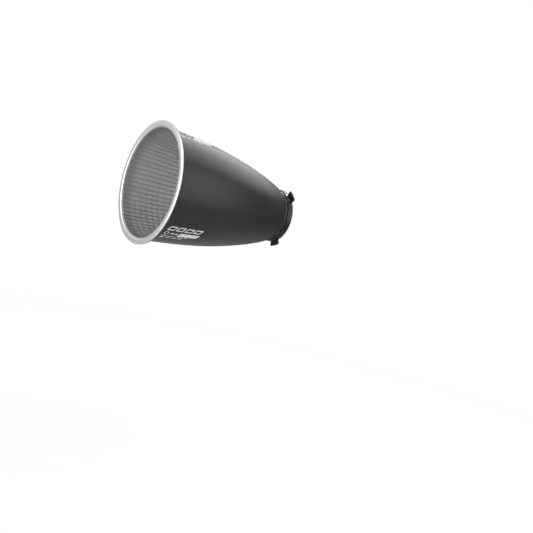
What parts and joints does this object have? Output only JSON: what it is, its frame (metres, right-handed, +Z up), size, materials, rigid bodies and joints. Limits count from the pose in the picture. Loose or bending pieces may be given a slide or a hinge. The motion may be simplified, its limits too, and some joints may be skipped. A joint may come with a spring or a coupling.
{
  "type": "bell-shaped snoot",
  "caption": "Long bell-shaped snoot for a spotlight: black spun shell, faceted bright liner, silver mouth hoop and a bayonet collar at the neck.",
  "frame": {"origin": "on the beam axis, in the plane of the bayonet collar's rear face, which seats in the lamp", "axes": "+Y along the beam axis towards the lamp, so the mouth faces -Y; +Z up as it hangs on the lamp; +X to the right for someone who looks into the mouth, along +Y"},
  "size_m": [0.2268, 0.295, 0.2268],
  "materials": {
    "shell_black": "semi-matt black coating on spun aluminium",
    "liner_silver": "satin anodised, pressed with rectangular facets",
    "rim_silver": "satin anodised",
    "collar_black": "black anodised, turned",
    "machined_aluminium": "turned, plain",
    "lug_steel": "black oxide, worn bright on the edges",
    "screw_steel": "stainless, plain",
    "screw_black": "black oxide",
    "gasket_black": "matt silicone",
    "print_white": "screen-printed ink"
  },
  "bodies": {
    "root": {"outer_shell": "shell_black", "inner_reflector": "liner_silver", "front_rim": "rim_silver", "rim_gasket": "gasket_black", "rim_screws": "screw_black", "bayonet_collar": "collar_black", "bayonet_lug_1": "lug_steel", "bayonet_lug_2": "lug_steel", "bayonet_lug_3": "lug_steel", "lug_rivets": "screw_steel", "neck_gasket": "gasket_black", "neck_keys": "collar_black", "key_screws": "screw_black", "lock_ring": "machined_aluminium", "throat_ring": "machined_aluminium", "throat_screws": "screw_steel"}
  },
  "joints": []
}
